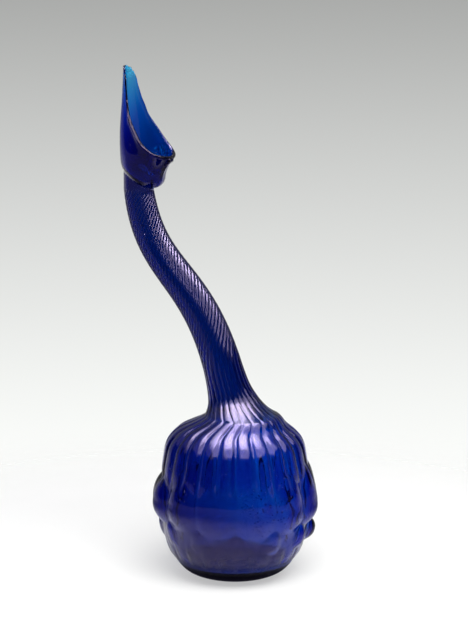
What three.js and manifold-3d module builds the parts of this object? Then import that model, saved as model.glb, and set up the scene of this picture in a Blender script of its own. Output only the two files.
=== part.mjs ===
// Swan-neck sprinkler bottle of blown, pattern-moulded cobalt glass.
// A ribbed and bossed globe stands on a small ring round a pushed-in base.
// Its neck is drawn up in one S curve, and the ribs of the mould wind round it as a helix.
// The end of the neck is opened into a pouch, sheared to a long leaf-shaped spout.
// Millimetres, +Z up. The origin is in the plane of the resting ring, under the middle of the
// whole bottle's box, which lies a little behind the globe's axis.
// +X is the way the mouth faces, and the whole neck bends in the plane of X and Z.
import * as THREE from "three";
import { mergeVertices } from "three/addons/utils/BufferGeometryUtils.js";
import Module from "manifold-3d";

const wasm = await Module();
wasm.setup();

// Glass thickness
const globeWall = 2.3;
const neckWall = 2.2;
const lipWall = 3.2;
const tipWall = 1.7;
const floorThickness = 4;

// Resting ring and the hollow under the base
const ringInnerRadius = 12;
const ringOuterRadius = 19;
const kickHeight = 4.5;
const pontilRadius = 8;
const pontilThickness = 1.1;
const baseTopZ = 14;
const kickShoulder = 0.72;
// Outline of the scar's underside, as shares of the pontil's radius and thickness
const scarOutline = [
  [0, 1],
  [0.45, 0.7],
  [0.8, 1],
  [0.95, 0.4],
  [0.9, 0],
  [0, 0],
];

// Outline of the globe without its pattern: radius, and height as a share of the root's height
const rootRadius = 26.4;
const rootZ = 121;
const globeOutline = [
  [ringOuterRadius, 0],
  [36.8, 0.053],
  [47.8, 0.178],
  [52.9, 0.314],
  [54, 0.43],
  [52.4, 0.595],
  [50.9, 0.727],
  [48.4, 0.822],
  [42.6, 0.89],
  [33.6, 0.95],
  [rootRadius, 1],
].map(([radius, share]) => [radius, share * rootZ]);

// Pattern of the mould
const lobeCount = 24;
const bossCount = 12;
const patternTurn = THREE.MathUtils.degToRad(2.6);
const patternTilt = 1.2;
const highSide = THREE.MathUtils.degToRad(212);
const lobeHeight = 1.9;
const lobeStartZ = 66;
const lobeFullZ = 84;
const lobeFadeHeight = 21;
const lobeFadeZ = rootZ - lobeFadeHeight;
const grooveShare = 0.45;
const bossHeight = 8.2;
const bossZ = 58;
const bossDrop = 15.5;
const bossRise = 25;
const bossHalfTurn = THREE.MathUtils.degToRad(17);
const tipNarrowing = 0.6;
const bossWander = 0.8;
const wanderStep = 4.7;
const wanderStart = 1.3;
const pillowPower = 0.9;
const tipPower = 2.4;
const lozengeHeight = 4.4;
const lozengeZ = 37;
const lozengeHalfHeight = 9.5;
const lozengeHalfTurn = THREE.MathUtils.degToRad(8);
const fluteHeight = 0.8;
const fluteFullZ = 20;
const fluteEndZ = 38;
const innerShare = 0.65;

// Side on which the bosses are taller and the lozenges stand out further. The neck's root tapers
// more slowly towards that side and away from it than between the two.
const tallSide = THREE.MathUtils.degToRad(32);
const bossStretch = 6;
const lozengeStretch = 2;
const rootFlareStretch = 3.6;

// Side on which the bosses have nearly closed up and the wall has filled out between them
const softSide = THREE.MathUtils.degToRad(302);
const softShare = 0.7;
const fillDepth = 3.6;
const fillZ = 66;
const fillHalfHeight = 27;

// Neck: one cubic curve from its root, behind the globe's axis, to the mouth
const rootBack = 2.2;
const rootSkew = 0.68;
const skewHeight = 8.5;
const skewStartZ = rootZ - skewHeight;
const neckBack = 80.8;
const neckRise = 158;
const lowerPullBack = 20;
const lowerPullUp = 106.9;
const upperPullBack = 10.7;
const upperPullDown = 70.5;
const neckFootRadius = 14.35;
const neckTopRadius = 10.65;
const rootFlareLength = 5.2;
const rootSkewLength = 8.6;
const ribHeight = 0.5;
const ropeGrooveShare = 1;
const ribHelix = THREE.MathUtils.degToRad(37);
const twistStart = 26;
const twistFull = 60;
const seatShare = 0.08;
const neckSplit = 0.5;

// Mouth: pouch and spout, measured from the middle of the neck's end
const pouchFrontDrop = 1.5;
const pouchBackRise = 17;
const pouchTurn = 7;
const crownShare = 0.4;
const lipFlare = 5.4;
const flareLength = 6.5;
const mouthHeight = 90;
const mouthBlendHeight = 26;
// Radius of the level sections of the spout, by height above the neck's end
const spoutRadii = [
  [0, 15.6],
  [12, 16.1],
  [26, 17.8],
  [36.7, 16.4],
  [54.6, 11.9],
  [65.4, 8.9],
  [76.2, 6.7],
  [mouthHeight, 4.2],
];
// Back of the spout, as distance behind the neck's middle
const spoutBacks = [
  [0, 11.3],
  [22, 12.4],
  [43, 13.3],
  [66, 12.6],
  [mouthHeight, 11.9],
];
// Sheared rim in side view: distance in front of the neck's middle and height above its end
const rimLine = [
  [25.6, 21.4],
  [18, 27.8],
  [10.5, 36.2],
  [5.4, 43.9],
  [-0.7, 54.6],
  [-4.2, 65.4],
  [-6.6, 76.2],
  [-10.6, mouthHeight],
];

// Fineness of the surfaces
const globeAround = 96;
const globeRows = 22;
const cavityAround = 48;
const cavityRows = 14;
const neckAround = 48;
const neckRows = 20;
const boreAround = 18;
const boreRows = 9;
const mouthAround = 38;
const mouthRows = 15;
const rowCrowding = 1.15;
const baseAround = 36;
const baseSteps = 7;
const scarAround = 20;
const curveDivisions = 400;
const twistSteps = 60;
const halvings = 40;
const overshoot = 1;

function smoothstep(x, low, high) {
  return THREE.MathUtils.smoothstep(x, low, high);
}

function splineOf(points) {
  return new THREE.SplineCurve(points.map(([a, b]) => new THREE.Vector2(a, b)));
}

// Value of a smooth curve through [place, value] pairs at a place.
function valueAt(pairs, place) {
  let i = 0;
  while (i < pairs.length - 2 && place > pairs[i + 1][0]) i += 1;
  const [x0, y0] = pairs[i];
  const [x1, y1] = pairs[i + 1];
  const before = pairs[Math.max(i - 1, 0)];
  const after = pairs[Math.min(i + 2, pairs.length - 1)];
  const span = x1 - x0;
  const slope0 = ((y1 - before[1]) / (x1 - before[0])) * span;
  const slope1 = ((after[1] - y0) / (after[0] - x0)) * span;
  const t = THREE.MathUtils.clamp((place - x0) / span, 0, 1);
  const t2 = t * t;
  const t3 = t2 * t;
  return (2 * t3 - 3 * t2 + 1) * y0 + (t3 - 2 * t2 + t) * slope0
    + (3 * t2 - 2 * t3) * y1 + (t3 - t2) * slope1;
}

// A closed skin over rings of equal length, with a fan over the first and the last ring.
function skin(rings) {
  const around = rings[0].length;
  const points = rings.flat();
  const first = points.length;
  const last = first + 1;
  for (const ring of [rings[0], rings[rings.length - 1]]) {
    const middle = new THREE.Vector3();
    ring.forEach((p) => middle.add(p));
    points.push(middle.divideScalar(around));
  }
  const index = [];
  const top = (rings.length - 1) * around;
  for (let j = 0; j < around; j += 1) {
    const k = (j + 1) % around;
    for (let i = 0; i + 1 < rings.length; i += 1) {
      const low = i * around;
      const high = low + around;
      index.push(low + j, low + k, high + k, low + j, high + k, high + j);
    }
    index.push(first, k, j, last, top + j, top + k);
  }
  return new THREE.BufferGeometry().setFromPoints(points).setIndex(index);
}

function solidOf(geometry) {
  const bare = geometry.clone();
  bare.deleteAttribute("normal");
  bare.deleteAttribute("uv");
  const merged = mergeVertices(bare, 1e-4);
  return new wasm.Manifold(new wasm.Mesh({
    numProp: 3,
    vertProperties: new Float32Array(merged.attributes.position.array),
    triVerts: new Uint32Array(merged.index.array),
  }));
}

function geometryOf(solid) {
  const { vertProperties, triVerts } = solid.getMesh();
  const geometry = new THREE.BufferGeometry();
  geometry.setAttribute("position", new THREE.BufferAttribute(vertProperties, 3));
  geometry.setIndex(new THREE.BufferAttribute(triVerts, 1));
  geometry.computeVertexNormals();
  return geometry;
}

function hollow(outer, inner) {
  return geometryOf(solidOf(outer).subtract(solidOf(inner)));
}

// How far a boss has strayed from its height: the pattern sits askew, and each boss differs a little.
function strayAt(angle, number) {
  const wander = Math.sin(number * wanderStep + wanderStart);
  return patternTilt * Math.cos(angle - highSide) + bossWander * wander;
}

// 0 in the groove between two ribs and 1 on the crest, which is the broader the narrower the groove.
function ribWave(angle, groove) {
  const across = Math.abs(Math.sin((lobeCount * (angle - patternTurn)) / 2));
  return (1 - Math.exp(-((across / groove) ** 2))) / (1 - Math.exp(-(groove ** -2)));
}

function nearestTurn(angle, centre) {
  const turn = 2 * Math.PI;
  return angle - centre - turn * Math.round((angle - centre) / turn);
}

// A pillow with a rounded foot and a pointed top: 0 outside, 1 at its middle.
function pillow(across, up, halfTurn) {
  const width = halfTurn * (1 - tipNarrowing * Math.max(up, 0) ** 2);
  const left = 1 - (across / Math.max(width, 1e-6)) ** 2 - Math.abs(up) ** tipPower;
  return Math.max(left, 0) ** pillowPower;
}

// 1 in the middle of the side where the pattern is softest, 0 from a quarter turn away.
function softnessAt(angle) {
  return Math.max(Math.cos(angle - softSide), 0) ** 2;
}

// How far the wall has filled out there.
function fillAt(angle, z) {
  const up = THREE.MathUtils.clamp((z - fillZ) / fillHalfHeight, -1, 1);
  return fillDepth * softnessAt(angle) * (1 - up ** 2) ** 2;
}

// How far the mould's pattern stands out of the plain globe.
function relief(angle, z) {
  const lobe = THREE.MathUtils.lerp(lobeHeight, ribHeight, smoothstep(z, lobeFadeZ, rootZ));
  const fluteShare = smoothstep(z, baseTopZ, fluteFullZ) * (1 - smoothstep(z, fluteFullZ, fluteEndZ));
  const flute = fluteHeight * fluteShare;
  const ribs = ribWave(angle, grooveShare) * (lobe * smoothstep(z, lobeStartZ, lobeFullZ) + flute);
  const pitch = (2 * Math.PI) / bossCount;
  let boss = 0;
  for (let i = 0; i < bossCount; i += 1) {
    const seam = patternTurn + i * pitch;
    const middle = seam + pitch / 2;
    const up = z - bossZ - strayAt(middle, i);
    const reachUp = bossRise + bossStretch * Math.cos(middle - tallSide);
    const rise = up > 0 ? up / reachUp : up / bossDrop;
    boss = Math.max(boss, bossHeight * pillow(nearestTurn(angle, middle), rise, bossHalfTurn));
    const low = (z - lozengeZ - strayAt(seam, i + bossCount)) / lozengeHalfHeight;
    const stands = lozengeHeight + lozengeStretch * Math.cos(seam - tallSide);
    boss = Math.max(boss, stands * pillow(nearestTurn(angle, seam), low, lozengeHalfTurn));
  }
  return ribs + boss * (1 - softShare * softnessAt(angle));
}

// Rings of the globe between two heights, pushed out along the outline's normal by the pattern.
function globeRings(lowShare, highShare, rows, around, depth, patternShare) {
  const outline = splineOf(globeOutline);
  const rings = [];
  for (let i = 0; i <= rows; i += 1) {
    const share = THREE.MathUtils.lerp(lowShare, highShare, i / rows);
    const at = outline.getPointAt(share);
    const along = outline.getTangentAt(share);
    const ends = i === 0 || i === rows;
    const shift = rootMiddle * smoothstep(at.y, skewStartZ, rootZ);
    const ring = [];
    for (let j = 0; j < around; j += 1) {
      const angle = patternTurn + (j / around) * 2 * Math.PI;
      const out = relief(angle, at.y) * patternShare + fillAt(angle, at.y) - depth;
      const radius = at.x + out * (ends ? 1 : along.y);
      const z = at.y - (ends ? 0 : out * along.x);
      ring.push(new THREE.Vector3(shift + radius * Math.cos(angle), radius * Math.sin(angle), z));
    }
    rings.push(ring);
  }
  return rings;
}

// Share of the outline's length at which it reaches a height.
function outlineShareAt(z) {
  const outline = splineOf(globeOutline);
  let low = 0;
  let high = 1;
  for (let i = 0; i < halvings; i += 1) {
    const middle = (low + high) / 2;
    if (outline.getPointAt(middle).y < z) low = middle;
    else high = middle;
  }
  return (low + high) / 2;
}

// The same rings with one more past each end, along the lean of that end, so that a cut runs through.
function lengthened(rings, lowLean = 0, highLean = 0) {
  const low = new THREE.Vector3(Math.sin(lowLean), 0, Math.cos(lowLean));
  const high = new THREE.Vector3(Math.sin(highLean), 0, Math.cos(highLean));
  const below = rings[0].map((p) => p.clone().addScaledVector(low, -overshoot));
  const above = rings[rings.length - 1].map((p) => p.clone().addScaledVector(high, overshoot));
  return [below, ...rings, above];
}

function globe() {
  const low = outlineShareAt(baseTopZ);
  const outer = globeRings(low, 1, globeRows, globeAround, 0, 1);
  const inner = globeRings(low, 1, cavityRows, cavityAround, globeWall, innerShare);
  return hollow(skin(outer), skin(lengthened(inner)));
}

// Base: a turned profile of resting ring, pushed-in underside and thick rounded floor.
function base() {
  const outline = splineOf(globeOutline);
  const share = outlineShareAt(baseTopZ);
  const profile = [new THREE.Vector2(0, kickHeight)];
  profile.push(new THREE.Vector2(pontilRadius, kickHeight));
  profile.push(new THREE.Vector2((pontilRadius + ringInnerRadius) / 2, kickHeight * kickShoulder));
  profile.push(new THREE.Vector2(ringInnerRadius, 0));
  for (let i = 0; i <= baseSteps; i += 1) profile.push(outline.getPointAt((share * i) / baseSteps));
  const wallRadius = outline.getPointAt(share).x - globeWall;
  const floorZ = kickHeight + floorThickness;
  for (let i = 0; i <= baseSteps; i += 1) {
    const turn = (i / baseSteps) * (Math.PI / 2);
    const z = baseTopZ - (baseTopZ - floorZ) * Math.sin(turn);
    profile.push(new THREE.Vector2(wallRadius * Math.cos(turn), z));
  }
  return new THREE.LatheGeometry(profile, baseAround).rotateX(Math.PI / 2);
}

// Rough disc of glass left by the iron that held the bottle, in the middle of the hollow.
function pontilScar() {
  const outline = scarOutline.map(([out, down]) => (
    new THREE.Vector2(out * pontilRadius, -down * pontilThickness)
  ));
  return new THREE.LatheGeometry(outline, scarAround).rotateX(Math.PI / 2);
}

// Middle of the ring where neck and globe meet: the bent neck has dragged its root forward.
const rootFlare = rootRadius - neckFootRadius;
const rootMiddle = rootSkew * rootFlare - rootBack;

const neckCurve = new THREE.CubicBezierCurve(
  new THREE.Vector2(-rootBack, rootZ),
  new THREE.Vector2(-rootBack - lowerPullBack, rootZ + lowerPullUp),
  new THREE.Vector2(-rootBack - neckBack + upperPullBack, rootZ + neckRise - upperPullDown),
  new THREE.Vector2(-rootBack - neckBack, rootZ + neckRise),
);
neckCurve.arcLengthDivisions = curveDivisions;
const neckLength = neckCurve.getLength();

function taperAt(along) {
  return THREE.MathUtils.lerp(neckFootRadius, neckTopRadius, along / neckLength);
}

function neckRadius(along, direction) {
  const length = rootFlareLength + rootFlareStretch * Math.cos(direction - tallSide) ** 2;
  return taperAt(along) + rootFlare * Math.exp(-along / length);
}

// How far the root's rings lie in front of the neck's curve.
function skewAt(along) {
  return rootSkew * rootFlare * Math.exp(-along / rootSkewLength);
}

// Turn of the ribs at a distance along the neck: none at the root, then the helix at its full angle.
function twistAt(along) {
  let turn = 0;
  for (let i = 0; i < twistSteps; i += 1) {
    const at = ((i + 0.5) / twistSteps) * along;
    const steepness = Math.tan(ribHelix) * smoothstep(at, twistStart, twistFull);
    turn += (steepness / taperAt(at)) * (along / twistSteps);
  }
  return turn;
}

// Lean of the rings: square to the curve, but level at the neck's both ends.
function leanAt(share) {
  const way = neckCurve.getTangentAt(share);
  const seat = smoothstep(share, 0, seatShare) * (1 - smoothstep(share, 1 - seatShare, 1));
  return Math.atan2(way.x, way.y) * seat;
}

// One ring across the neck.
function neckRing(share, around, depth, ribShare, twisted) {
  const along = share * neckLength;
  const middle = neckCurve.getPointAt(share);
  const lean = leanAt(share);
  const turn = twisted ? twistAt(along) : 0;
  const groove = THREE.MathUtils.lerp(grooveShare, ropeGrooveShare, smoothstep(along, 0, twistFull));
  const ring = [];
  for (let j = 0; j < around; j += 1) {
    const angle = patternTurn + (j / around) * 2 * Math.PI;
    const rib = ribWave(angle, groove) * ribHeight * ribShare;
    const radius = neckRadius(along, angle + turn) - depth + rib;
    const forward = radius * Math.cos(angle + turn);
    const side = radius * Math.sin(angle + turn);
    ring.push(new THREE.Vector3(
      middle.x + skewAt(along) + forward * Math.cos(lean),
      side,
      middle.y - forward * Math.sin(lean),
    ));
  }
  return ring;
}

function neckRings(low, high, rows, around, depth, ribShare, twisted) {
  const rings = [];
  for (let i = 0; i <= rows; i += 1) {
    const share = THREE.MathUtils.lerp(low, high, i / rows);
    rings.push(neckRing(share, around, depth, ribShare, twisted));
  }
  return rings;
}

// One length of the neck, between two shares of its curve.
function neckTube(low, high) {
  const outer = neckRings(low, high, neckRows, neckAround, 0, 1, true);
  const inner = neckRings(low, high, boreRows, boreAround, neckWall, 0, false);
  return hollow(skin(outer), skin(lengthened(inner, leanAt(low), leanAt(high))));
}

// Distance from a middle point to a circle's edge along a direction, where both lie on the X axis.
function reach(middleX, circleX, radius, angle) {
  const offset = circleX - middleX;
  const across = offset * Math.sin(angle);
  return offset * Math.cos(angle) + Math.sqrt(Math.max(radius ** 2 - across ** 2, 0));
}

// Point on the mouth's outer surface at an angle from the front and a height above the neck's end.
function mouthPoint(angle, height, belowRim) {
  const radius = valueAt(spoutRadii, height);
  const circleX = radius - valueAt(spoutBacks, height);
  const middleX = circleX * smoothstep(height, 0, mouthBlendHeight);
  const tube = reach(middleX, 0, neckTopRadius + ribHeight, angle);
  const cup = reach(middleX, circleX, radius, angle);
  const back = (1 - Math.cos(angle)) / 2;
  const start = pouchFrontDrop + (pouchBackRise - pouchFrontDrop) * back;
  const open = THREE.MathUtils.clamp((height - start) / pouchTurn, 0, 1);
  const swell = Math.sqrt(1 - (1 - open) ** 2);
  const flare = lipFlare * Math.exp(-belowRim / flareLength) * (1 - back) ** 2;
  const out = tube + (cup - tube) * swell + flare;
  return new THREE.Vector3(middleX + out * Math.cos(angle), out * Math.sin(angle), height);
}

// The rim on one side, from the middle of the lip to the tip, as angle from the front and height.
function rimAt(share) {
  const at = splineOf(rimLine).getPointAt(share);
  const radius = valueAt(spoutRadii, at.y);
  const circleX = radius - valueAt(spoutBacks, at.y);
  const cosine = THREE.MathUtils.clamp((at.x - circleX) / radius, -1, 1);
  return { angle: Math.acos(cosine), height: at.y };
}

// Columns run from the neck's end to the rim, evenly spaced round the neck and along the rim.
function mouthColumn(j) {
  const around = (j / mouthAround) * 2;
  const side = around <= 1 ? 1 : -1;
  const share = around <= 1 ? around : 2 - around;
  const rim = rimAt(share);
  const column = [];
  for (let i = 0; i <= mouthRows; i += 1) {
    const t = (i / mouthRows) ** rowCrowding;
    const angle = THREE.MathUtils.lerp(share * Math.PI, rim.angle, smoothstep(t, 0, 1));
    const height = rim.height * t;
    column.push(mouthPoint(side * angle, height, rim.height - height));
  }
  return column;
}

// The glass was drawn thinner towards the tip of the spout.
function wallAt(height) {
  return THREE.MathUtils.lerp(lipWall, tipWall, smoothstep(height, rimLine[0][1], mouthHeight));
}

// Outer wall, rounded rim and inner wall in one closed skin round the mouth.
function mouth() {
  const columns = [];
  for (let j = 0; j < mouthAround; j += 1) columns.push(mouthColumn(j));
  const wall = [];
  for (let j = 0; j < mouthAround; j += 1) {
    const before = columns[(j + mouthAround - 1) % mouthAround];
    const after = columns[(j + 1) % mouthAround];
    const outer = columns[j];
    const inner = outer.map((point, i) => {
      const along = after[i].clone().sub(before[i]);
      const up = outer[Math.min(i + 1, mouthRows)].clone().sub(outer[Math.max(i - 1, 0)]);
      const out = along.cross(up).normalize();
      if (i === 0) out.setZ(0).normalize();
      return point.clone().addScaledVector(out, i === 0 ? -neckWall - ribHeight : -wallAt(point.z));
    });
    const rim = outer[mouthRows];
    const rise = rim.clone().sub(outer[mouthRows - 1]).normalize();
    const crown = rim.clone().add(inner[mouthRows]).divideScalar(2);
    crown.addScaledVector(rise, wallAt(rim.z) * crownShare);
    wall.push([...outer, crown, ...inner.reverse()]);
  }
  const rows = wall[0].length;
  const index = [];
  for (let j = 0; j < mouthAround; j += 1) {
    const here = j * rows;
    const next = ((j + 1) % mouthAround) * rows;
    for (let i = 0; i < rows; i += 1) {
      const k = (i + 1) % rows;
      index.push(here + i, next + i, next + k, here + i, next + k, here + k);
    }
  }
  return new THREE.BufferGeometry().setFromPoints(wall.flat()).setIndex(index);
}

function glass(color, roughness) {
  return new THREE.MeshStandardMaterial({
    color,
    roughness,
    metalness: 0,
    transparent: true,
    opacity: 0.85,
  });
}

const cobalt = glass(0x0b2a9c, 0.05);
const deepCobalt = glass(0x0a1a5e, 0.08);
const scarGlass = glass(0x14246e, 0.6);

function piece(name, geometry, material, x = 0, z = 0) {
  const mesh = new THREE.Mesh(geometry, material);
  mesh.name = name;
  mesh.position.set(x, 0, z);
  return mesh;
}

const bottle = new THREE.Group();
bottle.add(piece("base", base(), deepCobalt));
bottle.add(piece("pontil_scar", pontilScar(), scarGlass, 0, kickHeight));
bottle.add(piece("globe", globe(), cobalt));
bottle.add(piece("neck_lower", neckTube(0, neckSplit), cobalt));
bottle.add(piece("neck_upper", neckTube(neckSplit, 1), cobalt));
bottle.add(piece("mouth", mouth(), cobalt, -rootBack - neckBack, rootZ + neckRise));

// The shapes above are worked out from the globe's axis.
const middle = new THREE.Box3().setFromObject(bottle).getCenter(new THREE.Vector3());
bottle.position.set(-middle.x, -middle.y, 0);

export default bottle;
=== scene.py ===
import math

import bpy
import numpy as np
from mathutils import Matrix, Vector


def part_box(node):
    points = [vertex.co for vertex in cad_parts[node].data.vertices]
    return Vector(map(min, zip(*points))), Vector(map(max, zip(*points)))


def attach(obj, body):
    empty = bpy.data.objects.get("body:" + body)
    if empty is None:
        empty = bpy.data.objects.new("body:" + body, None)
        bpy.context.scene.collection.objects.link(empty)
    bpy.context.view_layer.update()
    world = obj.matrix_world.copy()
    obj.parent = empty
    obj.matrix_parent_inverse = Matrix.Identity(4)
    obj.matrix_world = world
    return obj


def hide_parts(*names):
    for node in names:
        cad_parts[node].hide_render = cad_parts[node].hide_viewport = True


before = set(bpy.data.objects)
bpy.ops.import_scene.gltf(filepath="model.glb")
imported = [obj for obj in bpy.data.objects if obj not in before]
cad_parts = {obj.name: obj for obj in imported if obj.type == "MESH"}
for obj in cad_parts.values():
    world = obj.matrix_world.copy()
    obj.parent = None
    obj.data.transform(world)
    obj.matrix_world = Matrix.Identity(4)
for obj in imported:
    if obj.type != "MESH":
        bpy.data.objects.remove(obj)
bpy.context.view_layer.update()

# Swan-neck sprinkler bottle of blown cobalt glass. Shapes are drawn in millimetres from the globe's
# axis, +Z up and +X the way the mouth faces; makeMesh turns them into metres in the frame.
mm = 0.001
baseLow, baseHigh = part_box("base")
globeAxis = (baseLow + baseHigh) / 2
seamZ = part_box("globe")[1].z / mm
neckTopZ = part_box("neck_upper")[1].z / mm
print("frame: globe's axis at x", round(globeAxis.x / mm, 1), "and neck from z", round(seamZ, 1),
      "to", round(neckTopZ, 1))


# Camera at the photograph's angle: 32 degrees round, 11 degrees up, long lens
cameraForm = {
    "azimuth": 32,
    "elevation": 11,
    "distance": 1.6,
    "aimZ": 0.19614,
    "aside": 0.00072,
    "lens": 128.2,
    "sensorHeight": 36,
    "clipEnd": 50,
}


def smooth(x, low, high):  # 0 below low, 1 above high, an S between them
    t = np.clip((x - low) / (high - low), 0, 1)
    return t * t * (3 - 2 * t)


def mix(a, b, t):
    return a + (b - a) * t


def through(pairs, x):
    # A smooth curve through (place, value) pairs: cubic pieces with the slopes of their neighbours.
    pairs = np.array(pairs, float)
    px, py = pairs[:, 0], pairs[:, 1]
    i = np.clip(np.searchsorted(px, x, side="left") - 1, 0, len(px) - 2)
    before, after = np.maximum(i - 1, 0), np.minimum(i + 2, len(px) - 1)
    span = px[i + 1] - px[i]
    slopeA = (py[i + 1] - py[before]) / (px[i + 1] - px[before]) * span
    slopeB = (py[after] - py[i]) / (px[after] - px[i]) * span
    t = np.clip((x - px[i]) / span, 0, 1)
    t2, t3 = t * t, t * t * t
    start = (2 * t3 - 3 * t2 + 1) * py[i] + (t3 - 2 * t2 + t) * slopeA
    return start + (3 * t2 - 2 * t3) * py[i + 1] + (t3 - t2) * slopeB


class OutlineCurve:
    # A rounded line through points: Catmull-Rom pieces, read by share of their length.
    def __init__(self, points, fine=60):
        p = np.array(points, float)
        q = np.vstack([p[:1], p, p[-1:]])
        t = np.linspace(0, 1, fine, endpoint=False)[:, None]
        parts = []
        for a, b, c, d in zip(q, q[1:], q[2:], q[3:]):
            parts.append(b + 0.5 * t * (c - a) + t ** 2 * (a - 2.5 * b + 2 * c - 0.5 * d)
                         + t ** 3 * (1.5 * b - 1.5 * c + 0.5 * d - 0.5 * a))
        self.line = np.vstack(parts + [p[-1:]])
        steps = np.linalg.norm(np.diff(self.line, axis=0), axis=1)
        self.along = np.concatenate([[0], np.cumsum(steps)])

    def at(self, share):
        s = np.clip(share, 0, 1) * self.along[-1]
        return np.stack([np.interp(s, self.along, self.line[:, k]) for k in (0, 1)], -1)

    def way(self, share, step=0.002):
        d = self.at(share + step) - self.at(share - step)
        return d / np.linalg.norm(d, axis=-1, keepdims=True)

    def shareAt(self, z):
        return np.interp(z, self.line[:, 1], self.along) / self.along[-1]


def makeMesh(name, points, faces):
    mesh = bpy.data.meshes.new(name)
    mesh.from_pydata((points * mm + np.array([globeAxis.x, globeAxis.y, 0])).tolist(), [], faces)
    mesh.validate()
    mesh.polygons.foreach_set("use_smooth", np.ones(len(mesh.polygons), bool))
    mesh.update()
    piece = bpy.data.objects.new(name, mesh)
    bpy.context.scene.collection.objects.link(piece)
    return piece


def quadRows(first, rows, around):
    # Faces between neighbouring rings of one length, the last column joined to the first.
    i, j = np.meshgrid(np.arange(rows - 1), np.arange(around), indexing="ij")
    k = (j + 1) % around
    low, high = first + i * around, first + (i + 1) * around
    return np.stack([low + j, low + k, high + k, high + j], -1).reshape(-1, 4).tolist()


# Globe: outline, lobes on the shoulder, bosses round the middle, lozenges and flutes below them
globeForm = {
    "wall": 2.3,
    "innerShare": 0.8,
    "outline": [(19, 0), (36.8, 6.4), (47.8, 21.5), (52.9, 38), (54, 52), (52.4, 72), (50.9, 88),
                (48.4, 99.5), (42.6, 107.7), (33.6, 115), (26.4, 121)],
    "lobes": 24,
    "bosses": 12,
    "patternTurn": math.radians(2.6),
    "patternTilt": 1.2,
    "highSide": math.radians(212),
    "lobeHeight": 1.9,
    "lobeZ": (66, 84, 100),
    "grooveShare": 0.45,
    "bossHeight": 8.2,
    "bossZ": 58,
    "bossDrop": 15.5,
    "bossRise": 25,
    "bossStretch": 6,
    "bossHalfTurn": math.radians(17),
    "bossWander": 0.8,
    "wanderWave": (4.7, 1.3),
    "tipNarrowing": 0.6,
    "pillowPower": 1.1,
    "pillowEnds": 2.4,
    "footSoftness": 0.16,
    "lozengeHeight": 4.4,
    "lozengeStretch": 2,
    "lozengeZ": 37,
    "lozengeHalfHeight": 9.5,
    "lozengeHalfTurn": math.radians(8),
    "fluteHeight": 0.8,
    "fluteZ": (14, 20, 38),
    "tallSide": math.radians(32),
    "softSide": math.radians(302),
    "softShare": 0.8,
    "softPower": 1.2,
    "fill": 4.6,
    "fillZ": (65, 31),
    "rows": 108,
    "innerRows": 54,
}

neckForm = {
    "wall": 2.2,
    "rootRadius": 26.4,
    "rootBack": 2.2,
    "rootSkew": 0.68,
    "skewFrom": 11.5,
    "back": 80.8,
    "rise": 158,
    "lowerPull": (20, 106.9),
    "upperPull": (10.7, 70.5),
    "footRadius": 14.35,
    "topRadius": 10.65,
    "flareLength": 8.8,
    "kneeLength": 10.2,
    "kneeSoftness": 0.1,
    "skewLength": 8.6,
    "ribHeight": 0.5,
    "ropeGroove": 1,
    "ribHelix": math.radians(37),
    "twistFrom": (26, 60),
    "seat": 0.08,
    "lineSteps": 801,
    "twistSteps": 1201,
    "wayStep": 0.5,
    "rows": 84,
    "footCrowding": 0.45,
    "innerRows": 50,
}

mouthForm = {
    "lipWall": 3.2,
    "tipWall": 1.1,
    "frontDrop": 1.5,
    "backRise": 17,
    "pouchTurn": 7,
    "lipFlare": 5.4,
    "flareLength": 6.5,
    "height": 90,
    "blendHeight": 26,
    "radii": [(0, 15.6), (12, 16.1), (26, 17.8), (36.7, 16.4), (54.6, 11.9), (65.4, 8.9), (76.2, 6.8),
              (90, 4.6)],
    "backs": [(0, 11.3), (22, 12.4), (43, 13.3), (66, 12.6), (90, 11.9)],
    "rim": [(25.6, 21.4), (18, 27.8), (10.5, 36.2), (5.4, 43.9), (-0.7, 54.6), (-4.2, 65.4), (-6.3, 76.2),
            (-7.5, 84), (-9.3, 88.5), (-11.9, 90)],
    "rows": 52,
    "innerRows": 46,
    "rowCrowding": 1.15,
    "crownRows": 3,
    "chipDeep": 1.1,
    "chipFrom": (0.8, 0.93),
    "chipWaves": (95, 61),
    "chipEdge": 12,
    "wallBlend": 6,
    "levelBlend": 4,
}

baseForm = {
    "ringInner": 12,
    "kick": 4.55,
    "kickEdge": (0.68, 1.0),
    "kickRows": 9,
    "floor": 4,
    "topZ": 14,
    "rows": 14,
    "floorRows": 12,
}

outerAround = 288
innerAround = outerAround // 2


def strayAt(angle, number):
    # How far a boss has strayed from its height: the pattern sits askew and each boss differs a little.
    tilt = globeForm["patternTilt"] * np.cos(angle - globeForm["highSide"])
    pace, start = globeForm["wanderWave"]
    return tilt + globeForm["bossWander"] * np.sin(number * pace + start)


def ribWave(angle, groove):
    # 0 in the groove between two ribs and 1 on the crest, which is the broader the narrower the groove.
    across = np.abs(np.sin(globeForm["lobes"] * (angle - globeForm["patternTurn"]) / 2))
    return (1 - np.exp(-(across / groove) ** 2)) / (1 - np.exp(-1 / groove ** 2))


def pillow(across, up, halfTurn):
    # A dome with a rounded foot and a pointed top, 1 at its middle and 0 outside, its crease softened.
    width = halfTurn * (1 - globeForm["tipNarrowing"] * np.clip(up, 0, 1) ** 2)
    left = 1 - (across / width) ** 2 - np.abs(up) ** globeForm["pillowEnds"]
    soft = globeForm["footSoftness"]
    left = (left + np.sqrt(left ** 2 + soft ** 2)) / 2
    return np.clip(left - soft ** 2 / 4, 0, None) ** globeForm["pillowPower"]


def softness(angle):
    # 1 in the middle of the side where the pattern is softest, 0 from a quarter turn away.
    return np.maximum(np.cos(angle - globeForm["softSide"]), 0) ** globeForm["softPower"]


def fillAt(angle, z):
    # How far the wall has filled out on that side.
    up = np.clip((z - globeForm["fillZ"][0]) / globeForm["fillZ"][1], -1, 1)
    return globeForm["fill"] * softness(angle) * (1 - up ** 2) ** 2


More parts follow.
